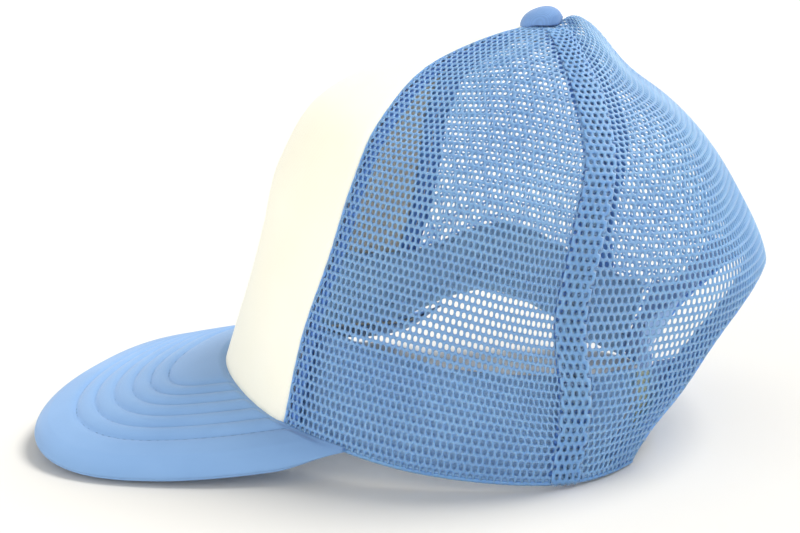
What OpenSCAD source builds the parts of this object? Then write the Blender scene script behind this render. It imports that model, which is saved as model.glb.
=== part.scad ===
// Five-panel trucker cap lying on a table: a foam front panel, four net panels,
// a padded visor with rows of stitching, a sweatband, a covered top button and
// an adjustable snap strap across the rear arch.
// Frame: millimetres, +Z up, table at z = 0, visor towards -Y,
// wearer's left side at +X, origin in the middle of the head opening.

/* [Crown] */
// Height of the crown at the button, above the table
crown_h = 137; // [130:1:144]
// How far the button sits behind the middle of the head opening
button_back = 33; // [28:1:38]
// Thickness of the foam front panel
foam_t = 3.2; // [2.5:0.1:3.4]
// Thickness of the net panels
net_t = 1.2; // [0.8:0.1:1.3]
// How far the rim of the left side is lifted off the table
rim_lift_left = 0; // [0:1:6]
// How far the slumped rim of the right side is lifted off the table
rim_lift_right = 22; // [0:1:24]
// Width of the seam strips inside the crown
strip_w = 10; // [6:1:14]

/* [Rear arch] */
// Half of the width of the arch at the table
arch_w = 57.5; // [55:0.5:58]
// Height of the arch
arch_h = 55; // [52:1:57]
// Width of the hem round the arch
hem_w = 9; // [6:1:10]

/* [Sweatband] */
// Height of the sweatband
band_h = 34; // [26:1:38]
// Thickness of the sweatband
band_t = 1.4; // [1.0:0.1:1.6]

/* [Visor] */
// Half of the width of the visor
visor_w = 91.5; // [90:0.5:93]
// Length of the visor from its widest place to its tip
visor_l = 71; // [69:1:73]
// Height of the visor's crest where it meets the front panel
visor_z = 23.9; // [23.8:0.1:24.6]
// Drop from the crest to the side edges
visor_drop = 20; // [18:0.5:20]
// Thickness of the padded top cover
pad_t = 2; // [1.6:0.1:2.4]
// Thickness of the stiff board
board_t = 1.2; // [1.0:0.1:1.6]
// Thickness of the under cover
under_t = 0.6; // [0.4:0.1:0.8]
// Plain margin outside the outermost row of stitching
row_margin = 14.2; // [12:0.2:16]
// Distance from one row of stitching to the next
row_step = 6.4; // [5.5:0.1:6.6]
// Number of stitched rows
rows = 6; // [3:1:6]

/* [Button] */
// Diameter of the covered button
button_d = 15; // [13:0.5:16]
// Height of the covered button
button_h = 6.6; // [6:0.1:7]
// Forward tilt of the button
button_tilt = 10; // [6:0.5:11]

/* [Snap strap] */
// Height of the strap
strap_h = 18; // [14:1:19]
// Thickness of each strap half
strap_t = 1.4; // [1.2:0.1:1.5]
// Distance of the strap behind the middle of the head opening
strap_y = 65.5; // [65:0.5:67]
// Distance of each strap root from the middle
root_x = 40; // [40:1:41]
// Height of the flared end that is sewn to the arch's foot
flare_h = 33; // [26:1:34]
// Distance from one peg to the next
peg_step = 10; // [9:0.5:10]
// Diameter of the pegs
peg_d = 4; // [3.4:0.1:4.2]
// Diameter of the peg holes
hole_d = 5.2; // [5.2:0.1:5.6]

/* [Hidden] */

blue = [0.52, 0.68, 0.86];
deep = [0.40, 0.55, 0.76];
cream = [0.97, 0.96, 0.90];

// Crown: seven meridians of the left half, from the middle of the front to the
// middle of the back; each has six points from the rim up, and all meet at the button.
crown_net = [
    [[0, -89, 21], [0, -78, 48], [0, -70, 72], [0, -63, 95], [0, -46, 118], [0, -8, 132]],
    [[40, -77, 19.5], [40, -67, 48], [38, -59, 71], [35, -51, 94], [27, -36, 116], [13, -7, 131]],
    [[71, -46, 14], [70, -38, 43], [66, -29, 67], [58, -22, 90], [45, -15, 109], [23, 0, 127]],
    [[84, -2, 5], [86, 4, 36], [81, 8, 60], [72, 13, 84], [55, 19, 105], [29, 26, 126]],
    [[79, 44, 1], [82, 48, 27], [80, 47, 51], [73, 52, 75], [58, 55, 97], [32, 47, 122]],
    [[46, 68, 0], [51, 81, 25], [52, 88, 49], [47, 87, 73], [37, 78, 98], [18, 53, 128]],
    [[0, 80, 0], [0, 99, 26], [0, 107, 52], [0, 98, 78], [0, 82, 103], [0, 49, 137]]];
apex = [0, button_back, crown_h];
lift_fade = [1, 0.45, 0.1, 0, 0, 0];
front_s = 2;      // front seams, in meridians
side_s = 4;       // side seams
t_top = 5.88;     // the panels end here, round the button's post
nv = 20;          // rows of facets up a panel

// the lift is highest beside the ear and dies out sooner towards the back
function lift(k, l) = exp(-pow((k - 3.2) / (k < 3.2 ? 0.8 : 0.52), 2)) * lift_fade[l];
function raw(m, l) = let (k = m <= 6 ? m : 12 - m, p = crown_net[k][l])
    [m <= 6 ? p[0] : -p[0], p[1], p[2] + (m <= 6 ? rim_lift_left : rim_lift_right) * lift(k, l)];
function level(m, l) = l < 0 ? 2 * raw(m, 0) - raw(m, 1) : l == 6 ? apex : l == 7 ? raw((m + 6) % 12, 5) : raw(m, l);
net = [for (m = [0:11]) [for (l = [-1:7]) level(m, l)]];
// smooth curve through four points
function cr(a, b, c, d, f) = 0.5 * (2 * b + (c - a) * f + (2 * a - 5 * b + 4 * c - d) * f * f + (3 * b - a - 3 * c + d) * f * f * f);
// point of the crown's outer surface: s runs round the crown, t runs from the rim to the button
function crown(s, t) = let (j = max(0, min(5, floor(t))), f = t - j, i = floor(s), g = s - i,
    q = [for (k = [-1:2]) let (c = net[((i + k) % 12 + 12) % 12]) cr(c[j], c[j + 1], c[j + 2], c[j + 3], f)])
    cr(q[0], q[1], q[2], q[3], g);
function unit(v) = v / norm(v);
function normal(s, t) = unit(cross(crown(s + 0.02, t) - crown(s - 0.02, t), crown(s, min(t + 0.02, 5.99)) - crown(s, max(t - 0.02, -0.2))));
// the same point moved inwards by d
function inside(s, t, d) = crown(s, t) - d * normal(s, t);
// millimetres per unit of s
function wide(s, t) = norm(crown(s + 0.05, t) - crown(s - 0.05, t)) / 0.1;
// t at a height h above the rim, measured along the crown
function at_height(s, h) = let (a = norm(crown(s, 1) - crown(s, 0)), b = norm(crown(s, 2) - crown(s, 1))) h < a ? h / a : 1 + (h - a) / b;

// closed solid between two grids of points, rows of equal length
module solid(top, bottom) {
    nr = len(top); nc = len(top[0]); n = nr * nc;
    function v(r, c, k) = k * n + r * nc + c;
    pts = concat([for (r = top) each r], [for (r = bottom) each r]);
    faces = concat(
        [for (r = [0:nr - 2], c = [0:nc - 2]) each [[v(r, c, 0), v(r + 1, c, 0), v(r + 1, c + 1, 0)], [v(r, c, 0), v(r + 1, c + 1, 0), v(r, c + 1, 0)]]],
        [for (r = [0:nr - 2], c = [0:nc - 2]) each [[v(r, c, 1), v(r + 1, c + 1, 1), v(r + 1, c, 1)], [v(r, c, 1), v(r, c + 1, 1), v(r + 1, c + 1, 1)]]],
        [for (c = [0:nc - 2]) each [[v(0, c, 0), v(0, c + 1, 0), v(0, c + 1, 1)], [v(0, c, 0), v(0, c + 1, 1), v(0, c, 1)],
            [v(nr - 1, c + 1, 0), v(nr - 1, c, 0), v(nr - 1, c, 1)], [v(nr - 1, c + 1, 0), v(nr - 1, c, 1), v(nr - 1, c + 1, 1)]]],
        [for (r = [0:nr - 2]) each [[v(r + 1, 0, 0), v(r, 0, 0), v(r, 0, 1)], [v(r + 1, 0, 0), v(r, 0, 1), v(r + 1, 0, 1)],
            [v(r, nc - 1, 0), v(r + 1, nc - 1, 0), v(r + 1, nc - 1, 1)], [v(r, nc - 1, 0), v(r + 1, nc - 1, 1), v(r, nc - 1, 1)]]]);
    polyhedron(points = pts, faces = faces, convexity = 10);
}

// rows of t up a panel, closer together near the button
function row_t(i) = t_top * i / nv;

// piece of the crown between two meridians
module gore(s0, s1, d0, d1, nu) {
    g = [for (d = [d0, d1]) [for (i = [0:nv]) [for (u = [0:nu]) inside(s0 + (s1 - s0) * u / nu, row_t(i), d)]]];
    solid(g[0], g[1]);
}

// strip along one meridian, from t0 up, w wide
module strip(s, t0, d0, d1) {
    g = [for (d = [d0, d1]) [for (i = [0:nv]) let (t = t0 + (t_top - 0.5 - t0) * i / nv, h = strip_w / 2 / wide(s, t))
        [for (u = [-1, 0, 1]) inside(s + u * min(h, 0.9), t, d)]]];
    solid(g[0], g[1]);
}

arch_n = 2.5;     // roundness of the arch: 2 is an ellipse, more is squarer
// s of the arch's edge at row t on the left half: found by halving
function arch_f(s, t, w, h) = let (p = crown(s, t)) pow(abs(p[0]) / w, arch_n) + pow(max(p[2], 0) / h, arch_n) - 1;
function arch_s(t, w, h, a = 4.2, b = 6, n = 22) = n == 0 ? (a + b) / 2 : let (m = (a + b) / 2) arch_f(m, t, w, h) > 0 ? arch_s(t, w, h, m, b, n - 1) : arch_s(t, w, h, a, m, n - 1);
// t of the arch's top in the middle of the back
function arch_t(h, a = 0, b = 3, n = 22) = n == 0 ? (a + b) / 2 : let (m = (a + b) / 2) crown(6, m)[2] < h ? arch_t(h, m, b, n - 1) : arch_t(h, a, m, n - 1);
// point on the back of the left half (side 1) or the right half (side -1)
function sided(s, side) = side > 0 ? s : 12 - s;
na = 10;
// rows of a back panel: na rows beside the arch, then rows above it
function back_t(i) = let (ta = arch_t(arch_h)) i <= na ? ta * sin(90 * i / na) : ta + (t_top - ta) * (i - na) / (nv - na);
function back_s(i) = i < na ? arch_s(back_t(i), arch_w, arch_h) : 6;
module back_panel(side) {
    nu = 9;
    g = [for (d = [0, net_t]) [for (i = [0:nv]) let (e = back_s(i) - 0.007, t = back_t(i))
        [for (u = [0:nu]) let (k = side > 0 ? u : nu - u) inside(sided(side_s + 0.007 + (e - side_s - 0.007) * k / nu, side), t, d)]]];
    solid(g[0], g[1]);
}
// hem: a band of hem_w inside the panels, from one foot of the arch to the other
function hem_st(x, z, side, s, t, n = 6) = n == 0 ? [s, t] : let (p = crown(sided(s, side), t), ps = (crown(sided(s + 0.02, side), t) - crown(sided(s - 0.02, side), t)) / 0.04,
    pt = (crown(sided(s, side), t + 0.02) - crown(sided(s, side), t - 0.02)) / 0.04, ex = x * side - p[0], ez = z - p[2], det = ps[0] * pt[2] - pt[0] * ps[2])
    hem_st(x, z, side, s + (ex * pt[2] - ez * pt[0]) / det, t + (ps[0] * ez - ps[2] * ex) / det, n - 1);
function hem_point(a, w, d) = let (side = a <= 90 ? 1 : -1, x = pow(abs(cos(a)), 2 / arch_n) * (arch_w + w), z = pow(sin(a), 2 / arch_n) * (arch_h + w) + 1.2 + (side > 0 ? 0 : 1.6) * abs(cos(a)),
    q = hem_st(x, z, side, 6 - x / 42, z / 26)) inside(sided(q[0], side), q[1], d);

// Visor: height of its top surface
function visor_top(x, y) = let (d = y + 89) visor_z + 0.15 * d - 0.0006 * d * d - (visor_drop + 0.12 * d) * pow(abs(x) / 93, 2.2)
    + 0.45 * (x < 0 ? rim_lift_right : rim_lift_left) * pow(max(0, (y + 62) / 40), 2) * pow(x / 80, 2);
visor_yw = -82;   // where the visor is widest
visor_n = 2.6;    // roundness of its front
visor_q = 1.73;   // how late its sides narrow towards the rim
visor_s = 2.52;   // the visor meets the rim over this many meridians on each side
u_side = 0.62;    // part of the outline that goes round the front
nvis = 40;
nvr = 7;
// inner edge, just outside the rim, z below the visor's top surface
function visor_in(u, z) = let (p = inside((u * visor_s + 12) % 12, 0.12 - z / 29, -0.5)) [p[0], p[1]];
// outline at u from -1 (right rear end) over 0 (tip) to 1 (left rear end), moved inwards by d; c is 1 where the ends stay in place
function outline(u, d, c = 0) = let (k = abs(u), g = u < 0 ? -1 : 1, a = 90 * min(1, k / u_side), f = max(0, (k - u_side) / (1 - u_side)), e = visor_in(g, 0), w = visor_w - 0.92 * d * (1 - c * f * f))
    f == 0 ? [g * w * pow(sin(a), 2 / visor_n), visor_yw - (visor_l - d) * pow(cos(a), 2 / visor_n)]
    : [g * (w - (visor_w - abs(e[0]) - 1.4) * pow(f, visor_q)), visor_yw + (e[1] + 0.3 - visor_yw) * f];
function visor_out(u, d) = outline(u, d, 1);
function visor_xy(u, v, d, z) = visor_in(u, z) * (1 - v) + visor_out(u, d) * v;
// layer of the visor between depths z0 and z1 below the top surface
module visor_layer(z0, z1, inset) {
    g = [for (z = [z0, z1]) [for (i = [0:nvis]) let (u = 2 * i / nvis - 1) [for (j = [0:nvr]) let (p = visor_xy(u, (nvr - j) / nvr, inset, z)) [p[0], p[1], visor_top(p[0], p[1]) - z]]]];
    solid(g[0], g[1]);
}
function in_crown(p) = let (r = [for (i = [-26:26]) let (q = inside((i / 10 + 12) % 12, 0.1, -0.45)) [q[0], q[1]]],
    near = [for (i = [0:51]) if ((r[i][0] <= p[0] && p[0] < r[i + 1][0])) r[i][1] + (r[i + 1][1] - r[i][1]) * (p[0] - r[i][0]) / (r[i + 1][0] - r[i][0])])
    len(near) > 0 && p[1] > near[0] - 1.5;
// last place of a row that is still in front of the crown
function row_end(d, a = 0.2, b = 1, n = 12) = n == 0 ? a : let (m = (a + b) / 2) in_crown(outline(m, d)) ? row_end(d, a, m, n - 1) : row_end(d, m, b, n - 1);
module stitch_row(d) {
    e = min(row_end(d), 0.97);
    ns = 26;
    g = [for (k = [0, 1]) [for (i = [0:ns]) let (a = -e + 2 * e * i / ns) [for (w = [-0.35, 0.35]) let (p = outline(a, d - w)) [p[0], p[1], visor_top(p[0], p[1]) + (k == 0 ? 0.8 : 0.35)]]]];
    solid(g[0], g[1]);
}

// Snap strap
peg_n = 6;
strap_z = 3;
function peg_x(i) = (i - (peg_n - 1) / 2) * peg_step;
tip_x = 32;
// flat strap half lying along X from its root to its tip, with a round root on the hinge axis
module strap_plate(y) {
    translate([0, y, strap_z]) {
        translate([root_x, 0, 0]) cylinder(d = strap_t, h = strap_h, $fn = 48);
        translate([-tip_x + strap_h / 2, -strap_t / 2, 0]) cube([root_x + tip_x - strap_h / 2, strap_t, strap_h]);
        translate([-tip_x + strap_h / 2, strap_t / 2, strap_h / 2]) rotate([90, 0, 0]) cylinder(d = strap_h, h = strap_t, $fn = 64);
    }
}
outer_y = strap_y + strap_t / 2 + 0.1;
inner_y = strap_y - strap_t / 2 - 0.1;
// sewn root of a strap half: a flared plate that follows the inside of the arch's foot and ends at the hinge
module tab(side, y) {
    st = [4.46, 4.54, 4.62, 4.7, 4.78];
    hs = [0, 0.25, 0.5, 0.75, 1];
    function leg(s, h, d) = let (q = sided(s + 0.17 * h, side), t = at_height(q, (side > 0 ? 3 : 2.4) + h * flare_h)) inside(q, t, d);
    // rows run along the strap, columns up it
    outer = concat([for (s = st) [for (h = hs) leg(s, h, 3.3)]], [[for (h = hs) [side * (root_x + 1.2), y + strap_t / 2, strap_z + h * strap_h]]]);
    inner = concat([for (s = st) [for (h = hs) leg(s, h, 3.3 + strap_t)]], [[for (h = hs) [side * (root_x + 1.2), y - strap_t / 2, strap_z + h * strap_h]]]);
    if (side > 0) solid([for (r = outer) [for (k = [4:-1:0]) r[k]]], [for (r = inner) [for (k = [4:-1:0]) r[k]]]); else solid(outer, inner);
}

module front_panel() { color(cream) gore(12 - front_s + 0.007, 12 + front_s - 0.007, 0, foam_t, 20); }
module side_mesh_left() { color(blue) gore(front_s + 0.007, side_s - 0.007, 0, net_t, 10); }
module side_mesh_right() { color(blue) gore(12 - side_s + 0.007, 12 - front_s - 0.007, 0, net_t, 10); }
module back_mesh_left() { color(blue) back_panel(1); }
module back_mesh_right() { color(blue) back_panel(-1); }
module front_seam_left() { color(deep) strip(front_s, 0.08, foam_t + 0.5, foam_t + 1.2); }
module front_seam_right() { color(deep) strip(12 - front_s, 0.08, foam_t + 0.5, foam_t + 1.2); }
module side_seam_left() { color(deep) strip(side_s, 0.08, net_t + 0.4, net_t + 1.1); }
module side_seam_right() { color(deep) strip(12 - side_s, 0.08, net_t + 0.4, net_t + 1.1); }
module back_seam() { color(deep) strip(6, arch_t(arch_h + hem_w + 3), net_t + 0.4, net_t + 1.1); }
module arch_hem() {
    nh = 32;
    color(deep) solid([for (i = [0:nh]) [for (w = [hem_w, hem_w / 2, 0.6]) hem_point(180 * i / nh, w, net_t + 0.8)]],
        [for (i = [0:nh]) [for (w = [hem_w, hem_w / 2, 0.6]) hem_point(180 * i / nh, w, net_t + 1.4)]]);
}
module sweatband() {
    nb = 44; nr = 3; e = 4.52;
    g = [for (d = [0, band_t]) [for (j = [0:nr]) [for (i = [0:nb]) let (s = (-e + 2 * e * i / nb + 12) % 12) inside(s, at_height(s, 1.2 + (band_h - 1.2) * j / nr), foam_t + 1.8 + d)]]];
    color(deep) solid(g[0], g[1]);
}
module visor_top_cover() { color(blue) visor_layer(0, pad_t, 0); }
module visor_board() { color([0.85, 0.83, 0.76]) visor_layer(pad_t + 0.25, pad_t + 0.25 + board_t, 1.6); }
module visor_under_cover() { color(blue) visor_layer(pad_t + 0.5 + board_t, pad_t + 0.5 + board_t + under_t, 0.2); }
module visor_stitching() { color(deep) for (j = [0:rows - 1]) stitch_row(row_margin + row_step * j); }

// axis of the button, at the top of the crown
module at_button() { translate(apex) rotate([button_tilt, 0, 0]) children(); }
button_gap = 0.9;
module button_cover() {
    r = button_d / 2;
    color(blue) at_button() difference() {
        rotate_extrude($fn = 64) intersection() {
            translate([0, button_gap + 1.4]) scale([1, 1]) union() {
                intersection() { translate([0, -(r * r - (button_h - 1.4) * (button_h - 1.4)) / (2 * (button_h - 1.4))]) circle(r = (r * r + (button_h - 1.4) * (button_h - 1.4)) / (2 * (button_h - 1.4)), $fn = 128); translate([0, 0]) square([r, button_h]); }
                translate([0, -1.4]) square([r - 0.4, 1.5]);
            }
            translate([0, button_gap]) square([r, button_h]);
        }
        translate([0, 0, button_gap - 0.1]) cylinder(r = r - 1.3, h = 1.7, $fn = 64);
    }
}
module button_shell() { color([0.75, 0.75, 0.76]) at_button() translate([0, 0, button_gap + 0.2]) difference() { cylinder(r = button_d / 2 - 1.5, h = 1.2, $fn = 64); translate([0, 0, -0.1]) cylinder(r = 1.3, h = 1.5, $fn = 32); } }
module button_post() { color([0.72, 0.72, 0.74]) at_button() translate([0, 0, -5.6]) cylinder(r = 1.2, h = 5.6 + button_gap + 1.3, $fn = 32); }
module button_washer() { color([0.72, 0.72, 0.74]) at_button() translate([0, 0, -5.4]) difference() { cylinder(r = 5.5, h = 0.8, $fn = 64); translate([0, 0, -0.1]) cylinder(r = 1.3, h = 1, $fn = 32); } }

module strap_tab_left() { color(blue) tab(1, outer_y); }
module strap_tab_right() { color(blue) tab(-1, inner_y); }
module strap_holes() {
    color(blue) difference() {
        strap_plate(outer_y);
        for (i = [0:peg_n - 1]) translate([peg_x(i), outer_y + strap_t, strap_z + strap_h / 2]) rotate([90, 0, 0]) cylinder(d = hole_d, h = 2 * strap_t, $fn = 48);
    }
}
module strap_pegs() {
    color(blue) {
        mirror([1, 0, 0]) strap_plate(inner_y);
        for (i = [0:peg_n - 1]) translate([peg_x(i), inner_y, strap_z + strap_h / 2]) rotate([-90, 0, 0]) {
            cylinder(d = peg_d, h = strap_t / 2 + 2.6, $fn = 48);
            translate([0, 0, strap_t / 2 + 2.0]) cylinder(d = peg_d + 0.4, h = 0.6, $fn = 48);
        }
    }
}
// small blank tape between the net and the left strap root, inside the foot of the arch; it leans forward as it goes up
module inner_label() {
    g = [for (d = [0, 0.35]) [for (j = [0:6]) [for (i = [0:2]) let (s = 4.64 - 0.16 * j / 6 + 0.05 * i) inside(s, at_height(s, 6 + 28 * j / 6), net_t + 1.6 + d)]]];
    color([0.82, 0.84, 0.62]) solid(g[0], g[1]);
}

front_panel();
side_mesh_left();
side_mesh_right();
back_mesh_left();
back_mesh_right();
front_seam_left();
front_seam_right();
side_seam_left();
side_seam_right();
back_seam();
arch_hem();
sweatband();
visor_top_cover();
visor_board();
visor_under_cover();
visor_stitching();
button_cover();
button_shell();
button_post();
button_washer();
strap_tab_left();
strap_tab_right();
strap_holes();
strap_pegs();
inner_label();
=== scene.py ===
import math

import bpy
import numpy as np
from mathutils import Matrix, Vector


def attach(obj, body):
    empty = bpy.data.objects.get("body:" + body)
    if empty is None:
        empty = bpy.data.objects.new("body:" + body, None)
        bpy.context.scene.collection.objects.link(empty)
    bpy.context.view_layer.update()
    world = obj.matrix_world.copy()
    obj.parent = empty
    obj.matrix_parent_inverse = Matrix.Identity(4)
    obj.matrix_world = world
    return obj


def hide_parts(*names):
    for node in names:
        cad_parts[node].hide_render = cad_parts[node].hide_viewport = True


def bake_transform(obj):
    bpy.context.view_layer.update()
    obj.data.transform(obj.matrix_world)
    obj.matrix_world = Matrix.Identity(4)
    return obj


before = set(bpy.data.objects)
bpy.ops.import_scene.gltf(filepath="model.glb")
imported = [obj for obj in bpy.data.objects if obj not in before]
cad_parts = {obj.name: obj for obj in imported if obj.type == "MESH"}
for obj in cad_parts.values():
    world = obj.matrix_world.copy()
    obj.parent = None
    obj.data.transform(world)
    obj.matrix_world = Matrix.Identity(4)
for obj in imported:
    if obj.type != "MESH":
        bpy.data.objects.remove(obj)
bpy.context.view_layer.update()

MM = 0.001

# ---------------------------------------------------------------- the crown's surface (mm), as in the CAD model
NET = np.array([
    [[0, -89, 21], [0, -78, 48], [0, -70, 72], [0, -63, 95], [0, -46, 118], [0, -8, 132]],
    [[40, -77, 19.5], [40, -67, 48], [38, -59, 71], [35, -51, 94], [27, -36, 116], [13, -7, 131]],
    [[71, -46, 14], [70, -38, 43], [66, -29, 67], [58, -22, 90], [45, -15, 109], [23, 0, 127]],
    [[84, -2, 5], [86, 4, 36], [81, 8, 60], [72, 13, 84], [55, 19, 105], [29, 26, 126]],
    [[79, 44, 1], [82, 48, 27], [80, 47, 51], [73, 52, 75], [58, 55, 97], [32, 47, 122]],
    [[46, 68, 0], [51, 81, 25], [52, 88, 49], [47, 87, 73], [37, 78, 98], [18, 53, 128]],
    [[0, 80, 0], [0, 99, 26], [0, 107, 52], [0, 98, 78], [0, 82, 103], [0, 49, 137]]], float)
APEX = np.array([0, 33, 137.0])
FADE = np.array([1, 0.45, 0.1, 0, 0, 0])
RIM_LIFT_LEFT, RIM_LIFT_RIGHT = 0.0, 22.0
ARCH_W, ARCH_H, ARCH_N, HEM_W = 57.5, 55.0, 2.5, 9.0
T_TOP = 5.88


def controls():
    ct = np.zeros((12, 9, 3))
    raw = np.zeros((12, 6, 3))
    for m in range(12):
        k = m if m <= 6 else 12 - m
        raw[m] = NET[k]
        if m > 6:
            raw[m, :, 0] *= -1
        raw[m, :, 2] += (RIM_LIFT_LEFT if m <= 6 else RIM_LIFT_RIGHT) * math.exp(-((k - 3.2) / (0.8 if k < 3.2 else 0.52)) ** 2) * FADE
    for m in range(12):
        ct[m, 0] = 2 * raw[m, 0] - raw[m, 1]
        ct[m, 1:7] = raw[m]
        ct[m, 7] = APEX
        ct[m, 8] = raw[(m + 6) % 12, 5]
    return ct


CT = controls()


def cr(a, b, c, d, f):
    return 0.5 * (2 * b + (c - a) * f + (2 * a - 5 * b + 4 * c - d) * f * f + (3 * b - a - 3 * c + d) * f * f * f)


def crown(s, t):
    s, t = np.broadcast_arrays(np.asarray(s, float), np.asarray(t, float))
    j = np.clip(np.floor(t), 0, 5).astype(int)
    f = (t - j)[..., None]
    i = np.floor(s).astype(int)
    g = (s - i)[..., None]
    q = [cr(CT[(i + k) % 12, j], CT[(i + k) % 12, j + 1], CT[(i + k) % 12, j + 2], CT[(i + k) % 12, j + 3], f) for k in (-1, 0, 1, 2)]
    return cr(*q, g)


def normal(s, t):
    t = np.asarray(t, float)
    a = crown(s + 0.02, t) - crown(s - 0.02, t)
    b = crown(s, np.minimum(t + 0.02, 5.99)) - crown(s, np.maximum(t - 0.02, -0.2))
    n = np.cross(a, b)
    return n / np.linalg.norm(n, axis=-1, keepdims=True)


def slack(s, t):
    """Soft waves of the slack net, in mm outwards; nothing at the seams."""
    s, t = np.broadcast_arrays(np.asarray(s, float), np.asarray(t, float))
    seam = np.minimum(np.abs(np.sin(np.pi * s / 2)) * 1.6, 1.0)
    side = (((s % 12) > 2) & ((s % 12) < 10)).astype(float)
    w = 0.9 * np.sin(2.3 * s + 1.9 * t + 0.6) * np.sin(1.7 * t - 1.1 * s + 0.4) + 0.5 * np.sin(4.1 * s - 2.9 * t) * np.sin(3.3 * t + 0.8)
    dent = 3.0 * np.exp(-((t - 4.57) / 0.26) ** 2) * np.exp(-(((s % 12) - 5.7) / 1.0) ** 2)
    return w * seam * side * np.clip(t / 0.8, 0, 1) * np.clip((5.6 - t) / 0.8, 0, 1) - dent


def inside(s, t, d):
    s, t, d = np.broadcast_arrays(np.asarray(s, float), np.asarray(t, float), np.asarray(d, float))
    return crown(s, t) - (d - slack(s, t))[..., None] * normal(s, t)


def at_height(s, h):
    s, h = np.broadcast_arrays(np.asarray(s, float), np.asarray(h, float))
    a = np.linalg.norm(crown(s, 1.0) - crown(s, 0.0), axis=-1)
    b = np.linalg.norm(crown(s, 2.0) - crown(s, 1.0), axis=-1)
    return np.where(h < a, h / a, 1 + (h - a) / b)


def sided(s, side):
    return s if side > 0 else 12 - s


def to_st(x, z, side, s, t, n=8):
    """s and t on the back of one half where the surface has that |x| and z."""
    for _ in range(n):
        p = crown(sided(s, side), t)
        ps = (crown(sided(s + 0.02, side), t) - crown(sided(s - 0.02, side), t)) / 0.04
        pt = (crown(sided(s, side), t + 0.02) - crown(sided(s, side), t - 0.02)) / 0.04
        ex, ez = x * side - p[..., 0], z - p[..., 2]
        det = ps[..., 0] * pt[..., 2] - pt[..., 0] * ps[..., 2]
        s = s + np.clip((ex * pt[..., 2] - ez * pt[..., 0]) / det, -0.3, 0.3)
        t = t + np.clip((ps[..., 0] * ez - ps[..., 2] * ex) / det, -0.3, 0.3)
    return s, t


# ---------------------------------------------------------------- meshes
def smooth(x, a, b):
    k = np.clip((x - a) / (b - a), 0, 1)
    return k * k * (3 - 2 * k)


def mesh_piece(name, verts, faces, mats, uv=None, face_mat=None, flat=False):
    """verts in mm; uv one pair for each vertex, in metres."""
    me = bpy.data.meshes.new(name)
    me.from_pydata((np.asarray(verts) * MM).tolist(), [], [list(map(int, f)) for f in faces])
    for m in mats:
        me.materials.append(m)
    if face_mat is not None:
        me.polygons.foreach_set("material_index", np.asarray(face_mat, np.int32))
    me.polygons.foreach_set("use_smooth", np.full(len(me.polygons), not flat))
    if uv is not None:
        layer = me.uv_layers.new(name="UVMap")
        idx = np.zeros(len(me.loops), np.int32)
        me.loops.foreach_get("vertex_index", idx)
        layer.data.foreach_set("uv", np.asarray(uv, np.float32)[idx].ravel())
    me.update()
    o = bpy.data.objects.new(name, me)
    bpy.context.scene.collection.objects.link(o)
    return o


def shell(name, top, bottom, mats, uv, inner_mat=0, wall_mat=0):
    """Closed shell between two grids (rows, columns, 3); top faces out when rows run up and columns run to the right."""
    nr, nc = top.shape[:2]
    n = nr * nc
    v = np.concatenate([top.reshape(-1, 3), bottom.reshape(-1, 3)])
    idx = np.arange(n).reshape(nr, nc)
    a, b, c, d = idx[:-1, :-1].ravel(), idx[:-1, 1:].ravel(), idx[1:, 1:].ravel(), idx[1:, :-1].ravel()
    f1 = np.stack([a, b, c, d], 1)
    f2 = np.stack([d, c, b, a], 1) + n
    walls = []
    for line, flip in ((idx[0], False), (idx[-1], True), (idx[:, 0], True), (idx[:, -1], False)):
        p, q = line[:-1], line[1:]
        w = np.stack([p + n, q + n, q, p], 1)
        walls.append(w[:, ::-1] if flip else w)
    f = np.concatenate([f1, f2, *walls])
    fm = np.concatenate([np.zeros(len(f1)), np.full(len(f2), inner_mat), np.full(sum(len(w) for w in walls), wall_mat)])
    return mesh_piece(name, v, f, mats, np.concatenate([uv.reshape(-1, 2)] * 2), fm)


def grid_uv(p):
    """Lengths along the rows and columns of a grid of points, in metres."""
    du = np.zeros(p.shape[:2])
    dv = np.zeros(p.shape[:2])
    du[:, 1:] = np.cumsum(np.linalg.norm(np.diff(p, axis=1), axis=-1), 1)
    du -= du[:, [p.shape[1] // 2]]
    dv[1:] = np.cumsum(np.linalg.norm(np.diff(p, axis=0), axis=-1), 0)
    return np.stack([du, dv], -1) * MM


PITCH, ROW = 2.05, 2.70


def without_flaps(faces):
    """Leaves out each pair of faces that lie on each other, as where a cut strand has no thickness left."""
    count = {}
    for f in faces:
        h = tuple(sorted(f))
        count[h] = count.get(h, 0) + 1
    return [f for f in faces if count[tuple(sorted(f))] == 1]


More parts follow.
